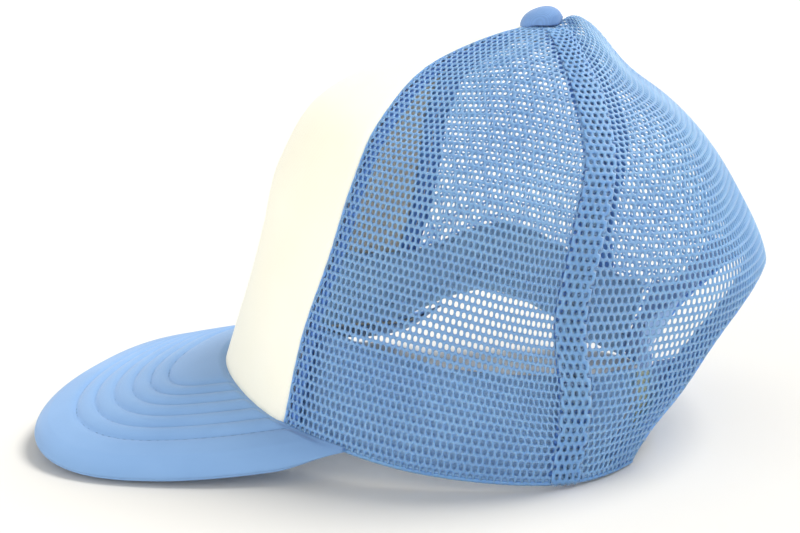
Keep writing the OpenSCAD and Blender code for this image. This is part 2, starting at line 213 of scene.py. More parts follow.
def net(name, sa, sb, mats, t0=0.0, t1=T_TOP, depth=0.55, phase=(0.0, 0.0), arch=0, hem=None, half=0.36, pitch=PITCH, row=ROW, hole=(0.66, 0.92), band=None, gather=0):
    """Knitted net with real holes on the crown between two seams. arch is the side (1 or -1) whose rear arch cuts it; hem keeps only a band of that width along the arch, and band only a strip of that half width along the middle. gather is the end (-1 or 1) where the net is gathered into a seam."""
    sc = (sa + sb) / 2
    tg = np.linspace(t0, t1, 221)
    sg = np.linspace(sa, sb, 91)
    P = crown(sg[None, :], tg[:, None])
    C = np.zeros(P.shape[:2])
    C[:, 1:] = np.cumsum(np.linalg.norm(np.diff(P, axis=1), axis=-1), 1)
    C -= C[:, [45]]
    Y = np.concatenate([[0], np.cumsum(np.linalg.norm(np.diff(crown(sc, tg), axis=0), axis=-1))])
    # lengths of the slack net: rows are drawn out at the rim, columns gathered at a seam
    up = np.linspace(0, Y[-1], 600)
    loose = np.concatenate([[0], np.cumsum(np.diff(up) / (0.95 + 0.24 * np.exp(-(up[1:] / 24) ** 2)))])
    if gather:
        away = np.maximum((C[:, -1:] - C) if gather > 0 else (C - C[:, :1]), 0)
        dense = 0.40 * np.exp(-((away - 8) / 20) ** 2) * (smooth(Y, 14, 36) * (1 - smooth(Y, 88, 112)))[:, None]
        step = np.diff(C, axis=1) * (1 + (dense[:, 1:] + dense[:, :-1]) / 2)
        C[:, 1:] = np.cumsum(step, 1)
        C[:, 0] = 0
        C -= C[:, [45]]
    top = loose[-1]
    ncol = int(max(C.max(), -C.min()) / pitch) + 2
    nrow = int(top / row) + 2
    r, c = np.meshgrid(np.arange(-1, nrow), np.arange(-ncol, ncol + 1), indexing="ij")
    cx = (c * pitch + (r % 2) * pitch / 2 + phase[0]).ravel()
    cy = ((r + 0.5) * row + phase[1]).ravel()
    a = 0.3
    hp, hq = pitch / 2, row / 2
    bx = np.array([-hp, 0, hp, hp, hp, 0, -hp, -hp])
    by = np.array([-hq + a, -hq - a, -hq + a, 0, hq - a, hq + a, hq - a, 0])
    hx, hy = hole
    ox = np.array([-0.76, 0, 0.76, 1, 0.76, 0, -0.76, -1]) * hx
    oy = np.array([-0.74, -1, -0.74, 0, 0.74, 1, 0.74, 0]) * hy
    mx, my = bx * 0.45 + ox * 0.55, by * 0.45 + oy * 0.55
    loops = [(bx, by, half), (mx, my, half * 0.75), (ox, oy, 0.0), (mx, my, -half * 0.75), (bx, by, -half)]
    pts = np.stack([np.stack([cx[:, None] + lx, cy[:, None] + ly, np.full((len(cx), 8), lz)], -1) for lx, ly, lz in loops], 1)
    n = len(cx)
    key = np.floor(pts.reshape(-1, 3) * 1000 + 0.37).astype(np.int64)
    key = key[:, 0] * (1 << 40) + key[:, 1] * (1 << 16) + key[:, 2]
    _, first, inv = np.unique(key, return_index=True, return_inverse=True)
    flat = pts.reshape(-1, 3)[first]
    ids = inv.reshape(n, 5, 8)
    k = np.arange(8)
    quads = np.concatenate([np.stack([ids[:, l][:, k], ids[:, l][:, (k + 1) % 8], ids[:, l + 1][:, (k + 1) % 8], ids[:, l + 1][:, k]], -1).reshape(-1, 4) for l in range(4)])
    # flat place to the place on the crown
    x, y, z = flat.T
    out = (y <= 0) | (y >= top)
    yy = np.interp(np.clip(y, 0, top), loose, up)
    t = np.interp(yy, Y, tg)
    fi = (t - t0) / (t1 - t0) * 220
    i0 = np.clip(np.floor(fi).astype(int), 0, 219)
    w = (fi - i0)[:, None]
    row_c = C[i0] * (1 - w) + C[i0 + 1] * w
    left, right = row_c[:, 0], row_c[:, -1]
    if band:
        left, right = np.maximum(left, -band), np.minimum(right, band)
    out |= (x <= left) | (x >= right)
    xx = np.clip(x, left, right)
    j = np.clip((row_c < xx[:, None]).sum(1) - 1, 0, 89)
    ii = np.arange(len(x))
    lo, hi = row_c[ii, j], row_c[ii, j + 1]
    s = sg[j] + (sg[1] - sg[0]) * (xx - lo) / np.maximum(hi - lo, 1e-9)
    if arch:
        def to_ellipse(mask, aw, ah, s, t):
            p = crown(s[mask], t[mask])
            px, pz = np.abs(p[:, 0]), np.maximum(p[:, 2], 0.0)
            f = ((px / aw) ** ARCH_N + (pz / ah) ** ARCH_N) ** (1 / ARCH_N)
            ss, tt = to_st(px / f, pz / f, arch, sided(s[mask], arch), t[mask])
            s, t = s.copy(), t.copy()
            s[mask], t[mask] = sided(ss, arch), np.maximum(tt, 0)
            return s, t
        p = crown(s, t)
        fin = (np.abs(p[:, 0]) / ARCH_W) ** ARCH_N + (np.maximum(p[:, 2], 0) / ARCH_H) ** ARCH_N
        cut = fin <= 1
        near = cut & (fin > 0.55)
        s, t = to_ellipse(near, ARCH_W, ARCH_H, s, t)
        out |= cut
        drop = cut & ~near
        if hem is not None:
            fo = (np.abs(p[:, 0]) / (ARCH_W + hem)) ** ARCH_N + (np.maximum(p[:, 2], 0) / (ARCH_H + hem)) ** ARCH_N
            cut2 = fo >= 1
            near2 = cut2 & (fo < 1.35)
            s, t = to_ellipse(near2, ARCH_W + hem, ARCH_H + hem, s, t)
            out |= cut2
            drop |= cut2 & ~near2
        quads = quads[~drop[quads].any(1)]
    zz = np.where(out, 0.0, z)
    xyz = inside(s, t, depth - zz)
    quads = quads[~out[quads].all(1)]
    key = np.floor(xyz * 200 + 0.37).astype(np.int64)
    key = key[:, 0] * (1 << 40) + key[:, 1] * (1 << 20) + key[:, 2]
    key[~out] = np.arange(1, (~out).sum() + 1) + (1 << 61)
    _, first, inv = np.unique(key, return_index=True, return_inverse=True)
    quads = inv[quads]
    xyz, uv = xyz[first], np.stack([x, y], -1)[first] * MM
    faces = [f for f in (list(dict.fromkeys(q)) for q in quads.tolist()) if len(f) > 2]
    kept = without_flaps(faces)
    used = np.zeros(len(xyz), bool)
    for f in kept:
        used[f] = True
    new = np.cumsum(used) - 1
    return mesh_piece(name, xyz[used], [[int(new[v]) for v in f] for f in kept], mats, uv[used])


def stitches(name, lines, mats, length=2.3, gap=0.7, radius=0.2, sink=0.0):
    """Thread stitches along lines; each line is (points, normals) in mm."""
    V, F = [], []
    ring = np.array([[math.cos(a), math.sin(a)] for a in np.arange(6) * math.pi / 3])
    prof = [(-0.5, 0.25, -0.5), (-0.4, 0.8, -0.1), (-0.15, 1.0, 0.25), (0.15, 1.0, 0.25), (0.4, 0.8, -0.1), (0.5, 0.25, -0.5)]
    for pts, nor in lines:
        seg = np.concatenate([[0], np.cumsum(np.linalg.norm(np.diff(pts, axis=0), axis=-1))])
        for a in np.arange(gap, seg[-1] - length - gap, length + gap):
            def at(q):
                return np.array([np.interp(q, seg, pts[:, k]) for k in range(3)])
            mid = at(a + length / 2)
            nn = np.array([np.interp(a + length / 2, seg, nor[:, k]) for k in range(3)])
            nn /= np.linalg.norm(nn)
            d = at(a + length) - at(a)
            d /= np.linalg.norm(d)
            side = np.cross(nn, d)
            base = len(V) * 6
            for along, rad, up in prof:
                c = at(a + length / 2 + along * length) + nn * (up * radius - sink)
                V.append(c + radius * rad * (ring[:, :1] * side + ring[:, 1:] * nn))
            for k in range(5):
                for e in range(6):
                    F.append([base + k * 6 + e, base + k * 6 + (e + 1) % 6, base + (k + 1) * 6 + (e + 1) % 6, base + (k + 1) * 6 + e])
            F.append([base + e for e in range(5, -1, -1)])
            F.append([base + 30 + e for e in range(6)])
    return mesh_piece(name, np.concatenate(V), F, mats)


# ---------------------------------------------------------------- materials
def srgb(r, g, b):
    f = lambda c: c / 12.92 if c <= 0.04045 else ((c + 0.055) / 1.055) ** 2.4
    return (f(r / 255), f(g / 255), f(b / 255), 1.0)


def material(name, colour, dark, rough=0.8, sheen=0.0, spec=0.3, weave=0.0, weave_bump=0.25, fuzz=900.0, fuzz_bump=0.12, blotch=25.0, metal=0.0, coords="UV", twill=False, inner=0.0):
    """Procedural cloth, foam, thread, plastic or metal: blotches of colour, a weave in the surface's own lengths, and fine fuzz."""
    m = bpy.data.materials.new(name)
    m.use_nodes = True
    nt = m.node_tree
    b = nt.nodes["Principled BSDF"]
    b.inputs["Roughness"].default_value = rough
    b.inputs["Specular IOR Level"].default_value = spec
    b.inputs["Metallic"].default_value = metal
    if inner:
        b.inputs["Subsurface Weight"].default_value = inner
        b.inputs["Subsurface Radius"].default_value = (1.0, 1.0, 1.0)
        b.inputs["Subsurface Scale"].default_value = 0.0025
    if sheen:
        b.inputs["Sheen Weight"].default_value = sheen
        b.inputs["Sheen Roughness"].default_value = 0.4
    tc = nt.nodes.new("ShaderNodeTexCoord")
    big = nt.nodes.new("ShaderNodeTexNoise")
    big.inputs["Scale"].default_value = blotch
    big.inputs["Detail"].default_value = 4.0
    nt.links.new(tc.outputs["Object"], big.inputs["Vector"])
    ramp = nt.nodes.new("ShaderNodeValToRGB")
    ramp.color_ramp.elements[0].position, ramp.color_ramp.elements[1].position = 0.36, 0.64
    ramp.color_ramp.elements[0].color, ramp.color_ramp.elements[1].color = dark, colour
    nt.links.new(big.outputs["Fac"], ramp.inputs["Fac"])
    fine = nt.nodes.new("ShaderNodeTexNoise")
    fine.inputs["Scale"].default_value = fuzz
    fine.inputs["Detail"].default_value = 3.0
    nt.links.new(tc.outputs["Object"], fine.inputs["Vector"])
    height = fine.outputs["Fac"]
    col = ramp.outputs["Color"]
    bump = nt.nodes.new("ShaderNodeBump")
    bump.inputs["Strength"].default_value = fuzz_bump
    bump.inputs["Distance"].default_value = 0.0004
    nt.links.new(height, bump.inputs["Height"])
    last = bump
    if weave:
        waves = []
        for direction, rot in (("X", 0), ("Y", 0)):
            wv = nt.nodes.new("ShaderNodeTexWave")
            wv.bands_direction = "DIAGONAL" if twill and direction == "X" else direction
            wv.inputs["Scale"].default_value = weave
            wv.inputs["Distortion"].default_value = 0.6
            wv.inputs["Detail"].default_value = 1.0
            wv.inputs["Detail Scale"].default_value = 2.0
            nt.links.new(tc.outputs[coords], wv.inputs["Vector"])
            waves.append(wv)
        mul = nt.nodes.new("ShaderNodeMath")
        mul.operation = "ADD"
        nt.links.new(waves[0].outputs["Fac"], mul.inputs[0])
        nt.links.new(waves[1].outputs["Fac"], mul.inputs[1])
        wb = nt.nodes.new("ShaderNodeBump")
        wb.inputs["Strength"].default_value = weave_bump
        wb.inputs["Distance"].default_value = 0.0003
        nt.links.new(mul.outputs[0], wb.inputs["Height"])
        nt.links.new(bump.outputs["Normal"], wb.inputs["Normal"])
        last = wb
        mix = nt.nodes.new("ShaderNodeMix")
        mix.data_type = "RGBA"
        mix.blend_type = "MULTIPLY"
        mix.inputs["Factor"].default_value = 0.12
        nt.links.new(col, mix.inputs["A"])
        nt.links.new(mul.outputs[0], mix.inputs["B"])
        col = mix.outputs["Result"]
    nt.links.new(col, b.inputs["Base Color"])
    nt.links.new(last.outputs["Normal"], b.inputs["Normal"])
    return m


M_FRONT = material("front_cloth", srgb(254, 251, 236), srgb(252, 248, 229), rough=0.9, sheen=0.1, weave=800, weave_bump=0.10, fuzz=700, fuzz_bump=0.05, blotch=14)
M_FOAM = material("front_foam", srgb(236, 230, 216), srgb(222, 216, 202), rough=1.0, fuzz=1500, fuzz_bump=0.5, blotch=40)
M_NET = material("net_yarn", srgb(120, 161, 209), srgb(110, 151, 200), rough=0.42, spec=0.5, sheen=0.1, inner=1.0, fuzz=2600, fuzz_bump=0.3, blotch=30)
M_BAND_NET = material("hem_net_yarn", srgb(118, 164, 229), srgb(106, 152, 219), rough=0.5, spec=0.4, sheen=0.1, inner=1.0, fuzz=2600, fuzz_bump=0.3, blotch=40)
M_VISOR = material("visor_cloth", srgb(135, 174, 221), srgb(127, 166, 214), rough=0.85, sheen=0.25, weave=850, weave_bump=0.16, fuzz=1100, fuzz_bump=0.12, blotch=22)
M_UNDER = material("visor_under_cloth", srgb(134, 174, 222), srgb(126, 165, 214), rough=0.85, sheen=0.2, weave=850, weave_bump=0.2, fuzz=1100, fuzz_bump=0.12, blotch=22)
# sweatband blue made much lighter than the cloth's own colour: painted light that lifts the shade the net in front
# casts on it
M_SWEAT_PAINTED_LIGHT = material("sweatband_cloth", srgb(168, 207, 244), srgb(156, 196, 236), rough=0.9, sheen=0.2, weave=600, weave_bump=0.35, twill=True, fuzz=1200, fuzz_bump=0.2, blotch=30)
M_TAPE = material("seam_tape_cloth", srgb(112, 160, 232), srgb(102, 150, 222), rough=0.85, sheen=0.2, weave=700, weave_bump=0.25, twill=True, fuzz=1400, fuzz_bump=0.15, blotch=40)
# a lighter copy of the seam tape cloth: the extra lightness is painted light that offsets the shade on the tape behind
# the doubled hem
M_HEM_PAINTED_LIGHT = material("hem_tape_cloth", srgb(176, 206, 248), srgb(166, 197, 242), rough=0.85, sheen=0.2, weave=700, weave_bump=0.25, twill=True, fuzz=1400, fuzz_bump=0.15, blotch=40)
# thread darker than the visor cloth: painted shade for the dark lines in the stitched grooves; the seam and band
# threads share it
M_THREAD_PAINTED_SHADE = material("thread", srgb(100, 138, 186), srgb(90, 128, 176), rough=0.6, sheen=0.2, fuzz=3000, fuzz_bump=0.5, blotch=120)
M_BUTTON = material("button_cloth", srgb(122, 160, 212), srgb(112, 150, 203), rough=0.8, sheen=0.25, weave=850, weave_bump=0.25, fuzz=1100, fuzz_bump=0.15, blotch=60)
M_STRAP = material("strap_plastic", srgb(150, 186, 234), srgb(141, 177, 226), rough=0.42, spec=0.5, fuzz=500, fuzz_bump=0.05, blotch=60)
M_METAL = material("button_metal", srgb(196, 196, 198), srgb(170, 170, 174), rough=0.35, spec=0.5, metal=1.0, fuzz=900, fuzz_bump=0.08, blotch=90)
M_BOARD = material("visor_board_sheet", srgb(222, 216, 200), srgb(206, 198, 180), rough=0.8, fuzz=600, fuzz_bump=0.2, blotch=50)
# label colour pushed paler: painted light that offsets the shade inside the crown
M_LABEL_PAINTED_LIGHT = material("label_tape", srgb(238, 240, 196), srgb(226, 230, 180), rough=0.85, inner=0.6, weave=900, weave_bump=0.3, fuzz=1500, fuzz_bump=0.15, blotch=90)

BODY = "cap"


def place(o, slot, *nodes, body=BODY):
    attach(o, body)
    if nodes:
        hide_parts(*nodes)
    return o


# ---------------------------------------------------------------- front panel: cloth on foam, rolled into the seams
def front_panel():
    nu, nv = 120, 120
    u = np.linspace(-1, 1, nu + 1)
    u = np.sign(u) * (1 - (1 - np.abs(u)) ** 1.35)
    s = 2.0 * u + 12
    t = np.linspace(-0.02, T_TOP, nv + 1)
    S, T = np.meshgrid(s, t)
    P = crown(S, T)
    gap = np.linalg.norm(P - np.where((u < 0)[None, :, None], P[:, :1], P[:, -1:]), axis=-1)
    roll = 1.5 * np.clip(1 - gap / 3.2, 0, 1) ** 2
    top_roll = 0.9 * np.clip((T - 5.6) / 0.3, 0, 1) ** 2
    soft = 0.35 * np.sin(2.2 * S + 1.3 * T) * np.sin(1.1 * T + 0.7) + 0.25 * np.sin(5.1 * S + 0.6) * np.exp(-((T - 0.6) / 0.7) ** 2)
    soft *= np.clip(gap / 12, 0, 1)
    top = crown(S, T) - (roll + top_roll - soft - 0.35 * np.clip(gap / 8, 0, 1))[..., None] * normal(S, T)
    bottom = crown(S, T) - (3.1 - soft * 0.4)[..., None] * normal(S, T)
    o = shell("front_panel_cloth", top, bottom, [M_FRONT, M_FOAM], grid_uv(top), inner_mat=1, wall_mat=1)
    place(o, "foam_front", "front_panel")
    return o


# ---------------------------------------------------------------- visor
VZ, VDROP, VW, VL, VYW, VN, VQ, VS, U_SIDE = 23.9, 20.0, 91.5, 71.0, -82.0, 2.6, 1.73, 2.52, 0.62


def visor_top(x, y):
    d = y + 89
    flare = np.where(x < 0, RIM_LIFT_RIGHT, RIM_LIFT_LEFT)
    return VZ + 0.15 * d - 0.0006 * d * d - (VDROP + 0.12 * d) * (np.abs(x) / 93) ** 2.2 + 0.45 * flare * np.maximum(0, (y + 62) / 40) ** 2 * (x / 80) ** 2


def visor_in(u, z):
    s, t = (u * VS) % 12, 0.12 - z / 29
    return (crown(s, t) + 0.12 * normal(s, t))[..., :2]


VEND = visor_in(np.array(1.0), 0.0)


def outline(u, d):
    """The outline from -1 (right rear end) over 0 (tip) to 1 (left rear end), moved inwards by d."""
    u = np.asarray(u, float)
    k, g = np.abs(u), np.where(u < 0, -1.0, 1.0)
    a = np.pi / 2 * np.minimum(1, k / U_SIDE)
    f = np.maximum(0, (k - U_SIDE) / (1 - U_SIDE))
    w = VW - 0.92 * d
    x = np.where(f == 0, w * np.sin(a) ** (2 / VN), w - (VW - VEND[0] - 1.4) * f ** VQ)
    y = np.where(f == 0, VYW - (VL - d) * np.maximum(np.cos(a), 0) ** (2 / VN), VYW + (VEND[1] + 0.3 - VYW) * f)
    return g * x, y


def row_depth(x, y):
    """How far a place on the visor is inside the outline, measured as the stitched rows are."""
    ax, ay = np.abs(x), np.maximum(VYW - y, 0)
    lo, hi = np.zeros_like(ax) - 4, np.full_like(ax, 70.0)
    for _ in range(34):
        m = (lo + hi) / 2
        f = (ax / np.maximum(VW - 0.92 * m, 1)) ** VN + (ay / np.maximum(VL - m, 0.5)) ** VN
        lo, hi = np.where(f < 1, m, lo), np.where(f < 1, hi, m)
    f = np.clip((y - VYW) / (VEND[1] + 0.3 - VYW), 0, 1)
    rear = (VW - (VW - VEND[0] - 1.4) * f ** VQ - ax) / 0.92
    return np.where(y < VYW, (lo + hi) / 2, rear)


def visor_out(u):
    x, y = outline(u, 0.0)
    return np.stack([x, y], -1)


ROW_MARGIN, ROW_STEP, ROWS = 14.2, 6.4, 6
LAST_ROW = ROW_MARGIN + ROW_STEP * (ROWS - 1)


def ridges(d):
    """Height of the padding between the stitched rows."""
    k = (d - ROW_MARGIN) / ROW_STEP
    between = 1.5 * np.abs(np.sin(np.pi * k)) ** 0.6
    margin = 1.5 * (1 - np.exp(-np.maximum(ROW_MARGIN - d, 0) / 1.5))
    inner = 1.3 * (1 - np.exp(-np.maximum(d - LAST_ROW, 0) / 1.5))
    return np.where(d < ROW_MARGIN, margin, np.where(d > LAST_ROW, inner, between))


def visor_grid(z):
    u = np.linspace(-1, 1, 301)
    v = np.concatenate([np.linspace(0, 0.93, 110, endpoint=False), 0.93 + 0.07 * np.sin(np.linspace(0, np.pi / 2, 22))])
    I, O = visor_in(u, z), visor_out(u)
    tan = np.gradient(O, axis=0)
    tan /= np.maximum(np.linalg.norm(tan, axis=-1, keepdims=True), 1e-9)
    nor = np.stack([-tan[:, 1], tan[:, 0]], -1)
    reach = np.abs(((O - I) * nor).sum(-1))
    xy = I[None] * (1 - v)[:, None, None] + O[None] * v[:, None, None]
    edge = (1 - v)[:, None] * reach[None]
    from_panel = v[:, None] * np.linalg.norm(O - I, axis=-1)[None]
    thick = 1 - 0.86 * smooth(np.abs(u), 0.86, 1.0)[None]
    return xy, edge, from_panel, thick


def visor():
    xy, edge, from_panel, thick = visor_grid(0.0)
    x, y = xy[..., 0], xy[..., 1]
    d = row_depth(x, y)
    zt = visor_top(x, y)
    R = 3.2
    drop = 2.15 * (1 - np.sqrt(np.maximum(0, 1 - (1 - np.minimum(edge, R) / R) ** 2)))
    fade = np.clip(edge / 5.0, 0, 1) * smooth(from_panel, 0.6, 3.6) * thick
    top_z = zt - drop * thick + ridges(d) * fade * 0.95 - 0.45 * np.exp(-(from_panel / 1.3) ** 2) * thick
    low = np.minimum(zt - 2.0 * thick, top_z - 0.1)
    top = np.stack([x, y, top_z], -1)
    bottom = np.stack([x, y, low], -1)
    # columns run to the right when seen from outside with rows running up: rows go outwards here
    o = shell("visor_top_cloth", top[::-1], bottom[::-1], [M_VISOR], grid_uv(top)[::-1])
    place(o, "visor_cloth", "visor_top_cover")
    xy, edge, from_panel, thick = visor_grid(4.3)
    x, y = xy[..., 0], xy[..., 1]
    zt = visor_top(x, y)
    d = row_depth(x, y)
    rise = 2.1 * (1 - np.sqrt(np.maximum(0, 1 - (1 - np.minimum(edge, R) / R) ** 2)))
    k = (d - ROW_MARGIN) / ROW_STEP
    groove = 0.22 * np.exp(-((k - np.clip(np.round(k), 0, ROWS - 1)) * ROW_STEP / 0.6) ** 2)
    low = zt - (4.3 - rise - groove) * thick
    up = np.maximum(zt - 3.7 * thick, low + 0.1)
    o2 = shell("visor_under_cloth", np.stack([x, y, up], -1)[::-1], np.stack([x, y, low], -1)[::-1], [M_UNDER], grid_uv(np.stack([x, y, low], -1))[::-1])
    place(o2, "visor_cloth", "visor_under_cover")
    # the stiff board inside, clear of the rolled edge
    u = np.linspace(-0.9, 0.9, 121)
    v = np.linspace(0.04, 1, 24)
    I, O = visor_in(u, 2.8), visor_out(u)
    out = O - I
    far = np.linalg.norm(out, axis=-1, keepdims=True)
    O = I + out * np.maximum(1 - 3.4 / far, 0.1)
    xy = I[None] * (1 - v)[:, None, None] + O[None] * v[:, None, None]
    zb = visor_top(xy[..., 0], xy[..., 1])
    thick = 1 - 0.86 * smooth(np.abs(u), 0.86, 1.0)
    up, low = np.concatenate([xy, (zb - 2.3 * thick)[..., None]], -1), np.concatenate([xy, (zb - 3.4 * thick)[..., None]], -1)
    place(shell("visor_board_sheet", up[::-1], low[::-1], [M_BOARD], grid_uv(up)[::-1]), "board", "visor_board")
    # thread in the grooves, darker than the cloth as painted shade in the grooves
    lines = []
    ring = crown(np.linspace(-2.6, 2.6, 400) % 12, 0.1)
    for j in range(ROWS):
        dd = ROW_MARGIN + ROW_STEP * j
        px, py = outline(np.linspace(-0.98, 0.98, 1201), dd)
        front = np.interp(px, ring[:, 0], ring[:, 1]) - 1.0
        away = np.where(py >= front)[0]
        lo = away[away < 600].max() + 1 if (away < 600).any() else 0
        hi = away[away > 600].min() if (away > 600).any() else 1201
        px, py = px[lo:hi], py[lo:hi]
        pz = visor_top(px, py) + ridges(np.full_like(px, dd)) * 0.95
        nor = np.stack([-(visor_top(px + 0.5, py) - visor_top(px - 0.5, py)), -(visor_top(px, py + 0.5) - visor_top(px, py - 0.5)), np.ones_like(px)], -1)
        lines.append((np.stack([px, py, pz], -1), nor))
    st = stitches("visor_thread", lines, [M_THREAD_PAINTED_SHADE], length=2.5, gap=0.7, radius=0.2, sink=0.02)
    place(st, "thread", "visor_stitching")


# ---------------------------------------------------------------- net panels, doubled seams and hem
def roll(name, pts, nor, wide, high, mats):
    """Soft round fold along a line of points with their normals."""
    n = len(pts)
    tan = np.gradient(pts, axis=0)
    tan /= np.linalg.norm(tan, axis=-1, keepdims=True)
    across = np.cross(tan, nor)
    th = np.linspace(0, 2 * np.pi, 12, endpoint=False)
    wob = 1 + 0.10 * np.sin(np.arange(n) * 0.9) + 0.06 * np.sin(np.arange(n) * 0.37)
    ring = pts[:, None] + wide * np.cos(th)[None, :, None] * across[:, None] * wob[:, None, None] + high * np.sin(th)[None, :, None] * nor[:, None]
    F = []
    for i in range(n - 1):
        for k in range(12):
            F.append([i * 12 + k, i * 12 + (k + 1) % 12, (i + 1) * 12 + (k + 1) % 12, (i + 1) * 12 + k])
    F += [list(range(11, -1, -1)), [(n - 1) * 12 + k for k in range(12)]]
    along = np.concatenate([[0], np.cumsum(np.linalg.norm(np.diff(pts, axis=0), axis=-1))])
    uv = np.stack([np.broadcast_to(th * wide, (n, 12)), np.broadcast_to(along[:, None], (n, 12))], -1).reshape(-1, 2) * MM
    return mesh_piece(name, ring.reshape(-1, 3), F, mats, uv)


def arch_edge():
    """The fold of the net round the arch: a soft roll that both layers run into."""
    a = np.linspace(0, np.pi, 260)
    side = np.where(a <= np.pi / 2, 1, -1)
    pts, nor = np.zeros((260, 3)), np.zeros((260, 3))
    for g in (1, -1):
        m = side == g
        x = np.abs(np.cos(a[m])) ** (2 / ARCH_N) * ARCH_W
        z = np.maximum(np.sin(a[m]), 0) ** (2 / ARCH_N) * ARCH_H
        z = np.maximum(z, 0.9 + crown(sided(4.75, g), 0.0)[2])
        s, t = to_st(x, z, g, 6 - x / 42, np.maximum(z / 26, 0.02))
        s, t = sided(s, g), np.maximum(t, 0.0)
        pts[m] = inside(s, t, 0.95)
        nor[m] = normal(s, t)
    place(roll("arch_edge_roll", pts, nor, 0.95, 0.62, [M_BAND_NET]), "tape")


def arch_tape():
    """Woven tape behind the doubled hem round the arch, between the strap roots."""
    a, o = np.meshgrid(np.linspace(0.3, np.pi - 0.3, 240), np.linspace(0.3, HEM_W - 0.6, 11), indexing="ij")
    pts = np.zeros((2,) + a.shape + (3,))
    for g in (1, -1):
        m = (a <= np.pi / 2) if g > 0 else (a > np.pi / 2)
        x = np.abs(np.cos(a[m])) ** (2 / ARCH_N) * (ARCH_W + o[m])
        z = np.maximum(np.sin(a[m]), 0) ** (2 / ARCH_N) * (ARCH_H + o[m])
        z = np.maximum(z, 0.6 + crown(sided(4.75, g), 0.0)[2])
        s, t = to_st(x, z, g, 6 - x / 42, np.maximum(z / 26, 0.02))
        s, t = sided(s, g), np.maximum(t, 0.0)
        wave = 0.12 * np.sin(a[m] * 40) * np.sin(o[m])
        pts[0][m], pts[1][m] = inside(s, t, 1.95 + wave), inside(s, t, 2.35 + wave)
    top, low = pts[0].transpose(1, 0, 2)[:, ::-1], pts[1].transpose(1, 0, 2)[:, ::-1]
    # this tape is lighter than the seam tapes as painted light against the shade behind the hem net
    h = shell("arch_hem_tape", top, low, [M_HEM_PAINTED_LIGHT], grid_uv(top))
    place(h, "tape", "arch_hem")


def net_sheet(o, slot, flat, area, rests, *nodes, pieces=()):
    place(o, slot, *nodes)
    return o


def nets():
    for side, tag in ((1, "left"), (-1, "right")):
        sr = sided(np.linspace(2.0, 4.72, 260), side)
        tr = at_height(sr, np.full(260, 0.75))
        rim = place(roll("rim_fold_" + tag, inside(sr, tr, 0.62), normal(sr, tr), 0.62, 0.5, [M_BAND_NET]), "tape")
        sf, v = np.full(220, 2.0 if side > 0 else 10.0), np.linspace(0.0, 5.8, 220)
        fold = place(roll("front_seam_fold_" + tag, inside(sf, v, 0.75), normal(sf, v), 0.62, 0.5, [M_BAND_NET]), "tape")
        a, b = (2.0, 4.0) if side > 0 else (8.0, 10.0)
        net_sheet(net("side_net_" + tag, a, b, [M_NET], gather=side), "net", (0.10, 0.17), 0.0118, ["front_panel_cloth", "sweatband_cloth"], "side_mesh_" + tag, pieces=[rim, fold])
        a, b = (4.0, 6.0) if side > 0 else (6.0, 8.0)
        net_sheet(net("back_net_" + tag, a, b, [M_NET], arch=side), "net", (0.09, 0.17), 0.0098, ["side_net_" + tag, "sweatband_cloth"], "back_mesh_" + tag)
        hem = net("arch_hem_net_" + tag, a, b, [M_BAND_NET], t1=3.2, depth=1.35, phase=(0.95, 1.2), arch=side, hem=HEM_W, hole=(0.56, 0.78))
        net_sheet(hem, "tape", (0.02, 0.1), 0.0009, ["back_net_" + tag])
        mid = 4.0 if side > 0 else 8.0
        strip = net("side_seam_net_" + tag, mid - 0.62, mid + 0.62, [M_BAND_NET], t1=5.7, depth=-0.12, phase=(1.02, 1.35), half=0.27, band=4.6, hole=(0.52, 0.74))
        net_sheet(strip, "tape", (0.010, 0.155), 0.0013, ["side_net_" + tag, "back_net_" + tag])


def tape(name, s0, t0, t1, half_w, depth, node):
    """Woven tape sewn over the inside of a seam; depth at each of its edges."""
    v = np.linspace(t0, t1, 150)
    x = np.linspace(-1, 1, 13)
    wide = np.linalg.norm(crown(s0 + 0.05, v) - crown(s0 - 0.05, v), axis=-1) / 0.1
    T, X = np.meshgrid(v, x, indexing="ij")
    S = s0 + np.clip(X * half_w / wide[:, None], -0.9, 0.9)
    deep = depth[0] + (depth[1] - depth[0]) * smooth(X * half_w, -1.8, 1.8)
    deep = deep + 0.10 * np.sin(T * 23 + X) * (1 - X ** 2) - 0.12 * np.exp(-(X * half_w / 0.8) ** 2)
    th = 0.26 * np.sqrt(np.clip(1 - np.abs(X) ** 8, 0.04, 1))
    top, low = inside(S, T, deep - th), inside(S, T, deep + th)
    o = shell(name, top, low, [M_TAPE], grid_uv(top))
    place(o, "tape", node)
    lines = []
    for e in (-0.72, 0.72):
        se = s0 + np.clip(e * half_w / wide, -0.9, 0.9)
        dd = depth[0] if e < 0 else depth[1]
        n = normal(se, v)
        lines.append((inside(se, v, dd + 0.3), -n))
    return lines


def seam_strips():
    lines = tape("side_seam_tape_left", 4.0, 0.0, 5.6, 5.0, (1.35, 1.35), "side_seam_left")
    lines += tape("side_seam_tape_right", 8.0, 0.0, 5.6, 5.0, (1.35, 1.35), "side_seam_right")
    lines += tape("front_seam_tape_left", 2.0, 0.0, 5.6, 5.0, (3.75, 1.35), "front_seam_left")
    lines += tape("front_seam_tape_right", 10.0, 0.0, 5.6, 5.0, (1.35, 3.75), "front_seam_right")
    lines += tape("back_seam_tape", 6.0, 2.36, 5.6, 5.0, (1.35, 1.35), "back_seam")
    place(stitches("seam_thread", lines, [M_THREAD_PAINTED_SHADE], length=2.4, gap=0.9, radius=0.16), "thread")


